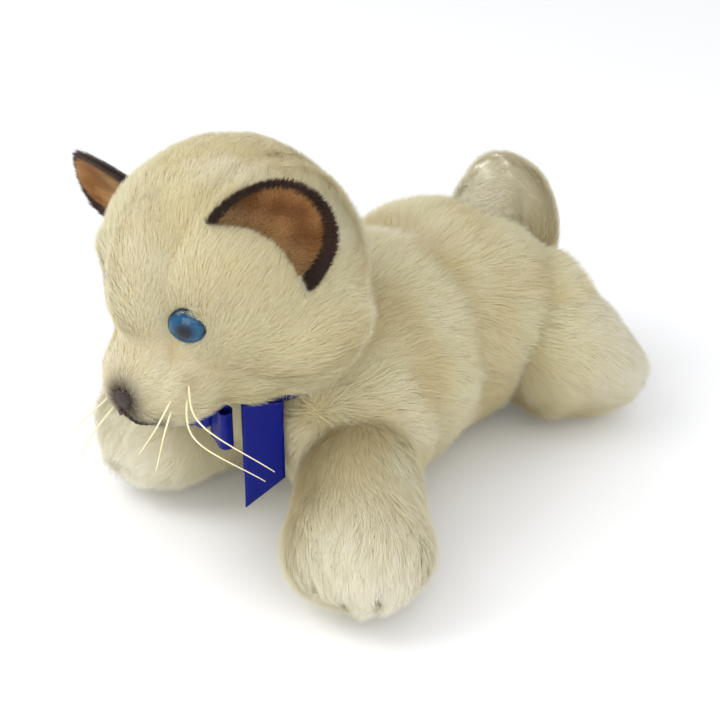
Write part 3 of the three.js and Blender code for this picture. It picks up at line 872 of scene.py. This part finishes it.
def leg_pieces(name, seed):
    stations, _ = LEGS[name]
    front = name.startswith("front")
    frame_of_leg = leg_frame(name)
    skin = soft_form(name + "_skin", [stuffed(stations)], frame_of_leg, smooth=6)
    to_leg = np.array(frame_of_leg.inverted())
    forward = -1.0 if front else 1.0
    paw_end = max(forward * s[1] for s in stations)

    def in_leg(co):
        return (co @ to_leg[:3, :3].T + to_leg[:3, 3]) / MM

    local = in_leg(coords(skin.data))
    ahead = forward * local[:, 1]
    at_paw = smoothstep(paw_end - 14, paw_end - 2, ahead)
    toes = np.maximum(bump(local[:, 0] - TOE_SPREAD, 2.6), bump(local[:, 0] + TOE_SPREAD, 2.6)) * at_paw
    low = 1 - smoothstep(18, 34, local[:, 2])
    ripple = 0.8 * drifts(local, 30, seed)
    sink(skin, LEG_INSET + (2.4 * toes * low + 1.5 * at_paw + ripple) * MM)
    flat_below(skin, 1 * MM)
    mesh = skin.data
    co = coords(mesh)
    local = in_leg(co)
    ahead = forward * local[:, 1]
    root_to_paw = np.array(frame_of_leg.to_3x3() @ Vector((0, forward, 0)))
    at_end = smoothstep(paw_end - 22, paw_end + 8, ahead)
    lay = root_to_paw + (0.55 + 1.1 * at_end[:, None]) * np.array((0, 0, -1.0))
    tint, crease = tint_with_painted_shade(mesh, CREAM, seed + 1, warm=0.9)
    tint = mixed(tint, PALE, 0.75 * smoothstep(paw_end - 60, paw_end - 10, ahead))
    tint = mixed(tint, GREY, 0.55 * toes * low)
    pile = (1.0 - 0.25 * crease - 0.35 * toes * low) * (1 - 0.75 * near_floor(co))

    def part(at):
        p = in_leg(at)
        return np.where(forward * p[:, 1] < -14, 2, np.where(p[:, 2] < 14, 1, 0))

    comb(skin, lay, pile, tint, part)
    pile_pieces(
        skin, name, "cream_pile", [name + "_pile", name + "_sole_pile"],
        all=dict(length=9.5, width=0.32, lift=0.36),
        **{name + "_pile": dict(density=6.5), name + "_sole_pile": dict(density=3.0)},
    )
    wear(skin, CREAM_BACKING, name, "cream_pile", name + "_cover", name + "_sole")


for number, leg in enumerate(LEGS):
    leg_pieces(leg, 20 + number)


# ---- Tail -----------------------------------------------------------------------------

TAIL_CROOK = ((0, 84, 83), (17, 22, 24))


def tail_pieces():
    forms = [stuffed(TAIL, sideways=(1.0, 0, 0)), lump(*TAIL_CROOK)]
    skin = soft_form("tail_skin", forms, BODY_FRAME, smooth=14)
    sink(skin, SKIN_INSET)
    mesh = skin.data
    co = coords(mesh)
    line = spline(TAIL, np.linspace(0, 1, 60))[:, :3]
    local = in_cat(co)
    nearest = np.argmin(np.linalg.norm(local[:, None] - line[None], axis=2), axis=1)
    along = unit(np.gradient(line, axis=0))[nearest]
    tint, _ = tint_with_painted_shade(mesh, CREAM, 31)
    # Painted light: the pile is paler towards the tip, lifting the shade on the face of the curl that turns
    # away from the lamps.
    tint = mixed(tint, PALE, 0.7 * smoothstep(0.1, 0.8, nearest / 60))
    comb(skin, along, np.full(len(co), 0.9), tint, lambda at: (in_cat(at)[:, 0] < 0).astype(int))
    pile_pieces(
        skin, "tail", "cream_pile", ["tail_pile_left", "tail_pile_right"],
        all=dict(length=8.5, width=0.32, lift=0.34, density=6.5),
    )
    wear(skin, CREAM_BACKING, "tail", "cream_pile", "tail_cover_left", "tail_cover_right")


tail_pieces()


# ---- Ears -----------------------------------------------------------------------------

EAR_WIDTH, EAR_HEIGHT, EAR_THICK, EAR_CUP, EAR_RIM = 46, 36, 4.2, 0.017, 3
# How much narrower and lower than its pattern each ear ends up, and how blunt its tip is.
EAR_TRIM = {"left": (3, 5, 0.2), "right": (15, 4, 0.5)}
EARS = {"left": ((35, -6, 31), (8, 42, 26)), "right": ((-42, -6, 18), (10, -78, -8))}


def turns(x, y, z):
    """A turn about X, then Y, then Z, in degrees."""
    x, y, z = (math.radians(a) for a in (x, y, z))
    return Matrix.Rotation(z, 4, "Z") @ Matrix.Rotation(y, 4, "Y") @ Matrix.Rotation(x, 4, "X")


def ear_leaf(name, place, width, height, thick, shift, bluntness, root=-6.0):
    """A cupped leaf with its base at the frame's origin, its tip up and its lining towards -Y."""
    vertices, faces = lump((0, 0, 0), (1, 1, 1), around=56, along=40)
    v = np.array(vertices) * (width / 2, height, thick / 2)
    blunt = 1 + bluntness * np.clip(v[:, 1] / height, 0, 1) ** 2
    v = np.stack([v[:, 0] * blunt, v[:, 2], v[:, 1]], 1)
    v[:, 1] += shift - EAR_CUP * v[:, 0] ** 2
    v[:, 2] = np.maximum(v[:, 2], root)
    made = mesh_object(name, [place @ Vector(p * MM) for p in v], faces)
    close_up(made.data, merge=0.02)
    return smooth_shaded(made)


def ear_pieces(name):
    at, tilt = EARS[name]
    body = "ear_" + name
    place = HEAD_FRAME @ Matrix.Translation(Vector(at) * MM) @ turns(*tilt)
    back_to = np.array(place.inverted())
    up = np.array(place.to_3x3() @ Vector((0, 0, 1)))
    inwards = -1 if name == "left" else 1
    narrow, low, blunt = EAR_TRIM[name]
    outer = ear_leaf(
        "ear_outer_skin_" + name, place @ Matrix.Translation((1.5 * inwards * MM, 0, 0)),
        EAR_WIDTH - narrow, EAR_HEIGHT - low, EAR_THICK - 1.6, 0.2, blunt,
    )
    lining = ear_leaf(
        "ear_lining_skin_" + name, place @ Matrix.Translation((3.2 * inwards * MM, 0, 0)),
        EAR_WIDTH - 2 * EAR_RIM - 3 - narrow, EAR_HEIGHT - EAR_RIM - low, 2.0, -1.5, blunt,
    )

    def in_ear(co):
        return (co @ back_to[:3, :3].T + back_to[:3, 3]) / MM

    for skin, piece, dark, light, backing, slot, seed in (
        (outer, "ear_outer_pile_", BROWN * 0.8, BROWN * 1.5, BROWN_BACKING, "ear_outer_pile", 41),
        (lining, "ear_lining_pile_", TAN, TAN_LIGHT, TAN_BACKING, "ear_lining_pile", 42),
    ):
        mesh = skin.data
        co = coords(mesh)
        p = in_ear(co)
        share = smoothstep(-1, 1, drifts(p, 9, seed))
        tint = mixed(dark, light, share)
        if slot == "ear_lining_pile":
            tint = mixed(tint, WARM * 0.95, 0.45 * smoothstep(16, 0, p[:, 2]))
        fan = up + 0.02 * p[:, 0:1] * np.array(place.to_3x3() @ Vector((1, 0, 0)))
        comb(skin, fan, np.ones(len(co)), tint)
        # The root colour below is painted shade, darkening the ear fibres towards their roots.
        pile_pieces(
            skin, body, slot, [piece + name],
            all=dict(
                length=3.6, width=0.26, lift=0.5, density=13,
                wisp_size=3.0, wisp_pull=0.9, painted_root_shade="#B98A5A",
            ),
        )
        wear(skin, backing, body, slot, ("ear_outer_" if skin == outer else "ear_lining_") + name)


for side in EARS:
    ear_pieces(side)

bpy.data.objects.remove(BLADE)


# ---- Face -----------------------------------------------------------------------------

def turned_form(name, profile, at, direction, sides=48):
    """A piece turned about a line, from its profile of (radius, height) in millimetres."""
    aim = Matrix.Translation(at) @ direction.to_track_quat("Z", "Y").to_matrix().to_4x4()
    vertices, faces = [], []
    for r, h in profile:
        for k in range(sides):
            a = 2 * math.pi * k / sides
            vertices.append(Vector((r * math.cos(a), r * math.sin(a), h)) * MM)
    rows = len(profile)
    for i in range(rows - 1):
        for k in range(sides):
            n = (k + 1) % sides
            faces.append((i * sides + k, i * sides + n, (i + 1) * sides + n, (i + 1) * sides + k))
    made = mesh_object(name, [aim @ v for v in vertices], faces)
    reach = EYE_RADIUS * MM
    set_field(made.data, "disc", "FLOAT_VECTOR", [(v.x / reach, v.y / reach, 0) for v in vertices])
    close_up(made.data, merge=0.01)
    return smooth_shaded(made)


def eyes():
    for name, (at, look) in EYES.items():
        look = HEAD_FRAME.to_3x3() @ Vector(look)
        at = HEAD_FRAME @ (Vector(at) * MM) - look.normalized() * EYE_SUNK[name] * MM
        dome = [(EYE_RADIUS * math.cos(a), EYE_DOME * math.sin(a)) for a in np.linspace(0, math.pi / 2, 18)]
        profile = [(0, -13), (2.2, -13), (2.2, -1.2), (6.4, -1.2), (7.0, -0.8)] + dome
        eye = turned_form("eye_dome_" + name, profile, at, look.normalized())
        wear(eye, EYE, "head", "eye_plastic", "eye_" + name)


eyes()


def tube(name, points, radii, sides=8):
    """A closed round tube along points in the row frame, with a radius in metres at each."""
    points = np.asarray(points, float)
    along = unit(np.gradient(points, axis=0))
    side = unit(np.cross(along, np.array((0.31, 0.17, 0.93))))
    top = np.cross(along, side)
    turn = np.linspace(0, 2 * math.pi, sides, endpoint=False)
    ring = points[:, None] + np.asarray(radii)[:, None, None] * (
        side[:, None] * np.cos(turn)[None, :, None] + top[:, None] * np.sin(turn)[None, :, None]
    )
    rows = len(points)
    faces = [
        (i * sides + k, i * sides + (k + 1) % sides, (i + 1) * sides + (k + 1) % sides, (i + 1) * sides + k)
        for i in range(rows - 1) for k in range(sides)
    ]
    faces += [tuple(reversed(range(sides))), tuple(range((rows - 1) * sides, rows * sides))]
    return smooth_shaded(mesh_object(name, ring.reshape(-1, 3), faces))


def joined(name, things):
    """Several meshes as one piece."""
    base = things[0]
    with bpy.context.temp_override(active_object=base, object=base, selected_editable_objects=things):
        bpy.ops.object.join()
    base.name = base.data.name = name
    return base


def head_curve(rows, count):
    line = spline([tuple(r) + (0, 0) for r in rows], np.linspace(0, 1, count))[:, :3]
    return np.array([HEAD_FRAME @ Vector(p * MM) for p in line])


NOSE_HALF = np.array((4.6, 2.0, 4.2))


def nose_and_mouth():
    strands = []
    for i, level in enumerate(np.linspace(-0.92, 0.92, 13)):
        reach = math.sqrt(1 - level ** 2) * (0.62 + 0.38 * smoothstep(-1, 0.6, np.array([level]))[0])
        x = np.linspace(-1, 1, 13) * reach
        depth = np.sqrt(np.clip(1 - x ** 2 - level ** 2 * 0.9, 0, 1))
        row = NOSE_AT + NOSE_HALF * np.stack([x, -depth, np.full(13, level)], 1)
        row[[0, -1], 1] += 1.4
        world = [HEAD_FRAME @ Vector(p * MM) for p in row]
        strands.append(tube(f"stitch_{i}", world, np.full(13, 0.44 * MM), sides=7))
    wear(joined("nose_stitches", strands), DARK_FLOSS, "head", "face_thread", "nose_embroidery")
    line = head_curve([(x, y + 1.2, z) for x, y, z in MOUTH], 49)
    along = unit(np.gradient(line, axis=0))
    side = unit(np.cross(along, np.array((0.2, 0.3, 0.93))))
    top = np.cross(along, side)
    plies = []
    for k in range(2):
        turn = np.linspace(0, 14 * math.pi, 49) + k * math.pi
        twist = line + 0.34 * MM * (side * np.cos(turn)[:, None] + top * np.sin(turn)[:, None])
        plies.append(tube(f"ply_{k}", twist, np.full(49, 0.38 * MM), sides=7))
    wear(joined("mouth_floss", plies), DARK_FLOSS, "head", "face_thread", "mouth_thread")


nose_and_mouth()

WHISKERS = {
    "left": [
        [(19, -48, -10), (34, -58, -17), (54, -47, -40)],
        [(18, -49, -14), (32, -61, -23), (51, -50, -44)],
        [(17, -50, -11), (18, -66, -20), (9, -72, -34)],
        [(16, -51, -14), (18, -63, -24), (14, -70, -41)],
    ],
    "right": [
        [(-16, -58, -25), (-18, -70, -28), (-20, -78, -31)],
        [(-14, -59, -28), (-15, -74, -34), (-15, -84, -41)],
        [(-19, -50, -26), (-28, -46, -37), (-32, -36, -48)],
        [(-18, -52, -29), (-24, -48, -42), (-24, -38, -53)],
    ],
}

for side, whiskers in WHISKERS.items():
    for number, points in enumerate(whiskers, 1):
        line = head_curve(points, 40)
        taper = 0.42 * MM * (1 - 0.62 * np.linspace(0, 1, 40) ** 1.5)
        bristle = tube(f"bristle_{side}_{number}", line, taper)
        wear(bristle, NYLON, "head", "whisker_nylon", f"whisker_{side}_{number}")


# ---- Ribbon ---------------------------------------------------------------------------

RIBBON_WIDTH = 16
RIBBON_THICK = 0.5
KNOT_AT = Vector((-4, -86, 56))
TAILS_AT = Vector((18.0, -74.0, 64))
TAILS_TURN = math.radians(54)
BAND_RADIUS = 25.6
LOOP_REACH = 10.5
BAND_AXIS = Vector((0, -0.524, 0.852)).normalized()


def ribbon(name, spine, wide, thick=RIBBON_THICK, cut=0.0, columns=12, closed=False):
    """A strip of ribbon: spine points and the width's direction at each, in millimetres of the cat's
    frame. cut is how much longer its outer edge is than the inner one."""
    spine, wide = np.asarray(spine, float), unit(np.asarray(wide, float))
    rows = len(spine)
    steps = np.linalg.norm(np.diff(spine, axis=0), axis=1)
    run = np.concatenate([[0], np.cumsum(steps)])
    across = np.linspace(-0.5, 0.5, columns + 1)
    ahead = np.roll(spine, -1, 0) - np.roll(spine, 1, 0) if closed else np.gradient(spine, axis=0)
    along = unit(ahead)
    face = unit(np.cross(along, wide))
    vertices, weave = [], []
    for layer in (0.5, -0.5):
        for i in range(rows):
            for a in across:
                stretch = 1 + cut * a * 2 / run[-1]
                t = run[i] * stretch
                at = np.array([np.interp(t, run, spine[:, c]) for c in range(3)])
                if t > run[-1]:
                    at = spine[-1] + along[-1] * (t - run[-1])
                vertices.append(at + wide[i] * a * RIBBON_WIDTH + face[i] * layer * thick)
                weave.append((a * RIBBON_WIDTH, t, layer))
    width = columns + 1
    half = rows * width
    faces = []
    loops = rows if closed else rows - 1
    for i in range(loops):
        j = (i + 1) % rows
        for k in range(columns):
            a, b, c, d = i * width + k, i * width + k + 1, j * width + k + 1, j * width + k
            faces += [(a, b, c, d), (d + half, c + half, b + half, a + half)]
        for k in (0, columns):
            a, d = i * width + k, j * width + k
            faces.append((a, d, d + half, a + half) if k == 0 else (a + half, d + half, d, a))
    if not closed:
        for k in range(columns):
            faces.append((k + 1, k, k + half, k + 1 + half))
            end = (rows - 1) * width + k
            faces.append((end, end + 1, end + 1 + half, end + half))
    made = mesh_object(name, [CAT + Vector(v) * MM for v in vertices], faces)
    set_field(made.data, "weave", "FLOAT_VECTOR", weave)
    close_up(made.data)
    return smooth_shaded(made), run[-1]


def ribbon_pieces():
    # Band round the neck.
    axis = np.array(BAND_AXIS)
    first = unit(np.cross(axis, (1.0, 0, 0)))
    second = np.cross(axis, first)
    turn = np.linspace(0, 2 * math.pi, 96, endpoint=False)
    centre = np.array((NECK - CAT) / MM)
    spine = centre + BAND_RADIUS * (np.cos(turn)[:, None] * first + np.sin(turn)[:, None] * second)
    band, long = ribbon("satin_band", spine, np.tile(axis, (96, 1)), closed=True)
    wear(band, SATIN, "torso", "ribbon_satin", "ribbon_band")

    # Knot: a short length folded over itself.
    knot_at = np.array(KNOT_AT)
    rows = [tuple(knot_at + (0, 0, dz)) + (5.4, 3.9) for dz in (-5.6, -2.8, 0, 2.8, 5.6)]
    vertices, faces = stuffed(rows, sideways=(0, 1.0, 0.0), around=40, along=28, fullness=3.2)
    v = np.array(vertices)
    angle = np.arctan2(v[:, 1] - knot_at[1], v[:, 0] - knot_at[0])
    fold = 1 - 0.1 * np.abs(np.sin(3 * angle + 0.12 * (v[:, 2] - knot_at[2])))
    v[:, :2] = knot_at[:2] + (v[:, :2] - knot_at[:2]) * fold[:, None]
    knot = smooth_shaded(mesh_object("satin_knot", [CAT + Vector(p) * MM for p in v], faces))
    set_field(knot.data, "weave", "FLOAT_VECTOR", np.stack([v[:, 2] - knot_at[2], angle * 5, 0 * angle], 1))
    wear(knot, SATIN, "torso", "ribbon_satin", "ribbon_knot")

    # Bow loops: out from the knot, round and back.
    for name, s in (("left", 1), ("right", -1)):
        t = np.linspace(0, 1, 44)
        out = 5.4 + LOOP_REACH * np.sin(math.pi * t) ** 0.75
        open_ = 3.1 * np.sin(2 * math.pi * t) * np.clip(np.sin(math.pi * t), 0, 1) ** 0.4
        droop = -1.6 * np.sin(math.pi * t) ** 2
        spine = np.stack([knot_at[0] + s * out, knot_at[1] + open_, knot_at[2] + droop], 1)
        pinch = np.stack([0 * t, 0.05 * np.sin(9 * t), 1 + 0 * t], 1)
        loop, long = ribbon("satin_loop_" + name, spine, pinch)
        wear(loop, SATIN, "torso", "ribbon_satin", "ribbon_loop_" + name)

    # Hanging ends, cut on the slant.
    for name, length, slant, behind, wave in (
        ("left", 40.5, -6.5, 0.0, 1.0), ("right", 28.0, -4.5, 2.4, 1.6),
    ):
        t = np.linspace(0, 1, 46)
        sway = 0.9 * np.sin(1.5 * math.pi * t + wave) * t
        local = np.stack([0 * t, behind + sway, -length * t], 1)
        c, s = math.cos(TAILS_TURN), math.sin(TAILS_TURN)
        spin = np.array(((c, -s, 0), (s, c, 0), (0, 0, 1)))
        spine = local @ spin.T + np.array(TAILS_AT)
        wide = np.tile(np.array((1.0, 0, 0)) @ spin.T, (46, 1))
        end, long = ribbon("satin_end_" + name, spine, wide, cut=slant)
        wear(end, SATIN, "ribbon_tails", "ribbon_satin", "ribbon_tail_" + name)


ribbon_pieces()


# ---- CAD pieces that stay ---------------------------------------------------------------

for name, node in frame["nodes"].items():
    if not node.hide_render:
        finish = WASHER if "washer" in name else POUCH if "pouch" in name else STAPLE
        node.data.materials.clear()
        node.data.materials.append(finish)


# ---- Room, light and camera --------------------------------------------------------------

def soft_box(name, at, towards, size, power):
    lamp = bpy.data.lights.new(name, "AREA")
    lamp.shape = "SQUARE"
    lamp.size = size
    lamp.energy = power
    made = bpy.data.objects.new(name, lamp)
    bpy.context.scene.collection.objects.link(made)
    made.location = at
    made.rotation_mode = "QUATERNION"
    made.rotation_quaternion = (Vector(at) - Vector(towards)).to_track_quat("Z", "Y")
    return made


def studio():
    bpy.ops.mesh.primitive_plane_add(size=6)
    floor = bpy.context.object
    floor.name = "studio_floor"
    made, _, shader = material("white_studio_paper")
    shader.inputs["Base Color"].default_value = rgb("#F7F7F6")
    shader.inputs["Roughness"].default_value = 0.9
    floor.data.materials.append(made)
    world = bpy.data.worlds.new("studio_air")
    bpy.context.scene.world = world
    world.use_nodes = True
    air = world.node_tree.nodes["Background"]
    air.inputs["Color"].default_value = rgb("#FAFBFF")
    air.inputs["Strength"].default_value = 0.9
    middle = (0, 0, 0.06)
    soft_box("window_light", (-0.45, -0.55, 0.85), middle, 0.7, 5.0)
    soft_box("room_light", (0.75, -0.35, 0.5), middle, 0.8, 2.2)
    soft_box("front_light", (0.35, -0.8, 0.25), middle, 0.5, 2.0)


studio()

CAMERA_AZIMUTH = 43
CAMERA_ELEVATION = 30
CAMERA_DISTANCE = 0.75
CAMERA_TARGET = Vector((CAT.x, CAT.y, 0.045))
VIEW_WIDTH = 0.3024


def camera():
    lens = bpy.data.cameras.new("studio_camera")
    made = bpy.data.objects.new("studio_camera", lens)
    bpy.context.scene.collection.objects.link(made)
    a, e = math.radians(CAMERA_AZIMUTH), math.radians(CAMERA_ELEVATION)
    back = Vector((math.sin(a) * math.cos(e), -math.cos(a) * math.cos(e), math.sin(e)))
    made.location = CAMERA_TARGET + back * CAMERA_DISTANCE
    made.rotation_mode = "QUATERNION"
    made.rotation_quaternion = back.to_track_quat("Z", "Y")
    lens.sensor_width = 36
    lens.lens = 36 * CAMERA_DISTANCE / VIEW_WIDTH
    lens.clip_start = 0.01
    bpy.context.scene.camera = made


camera()
bpy.context.scene.view_settings.view_transform = "Standard"
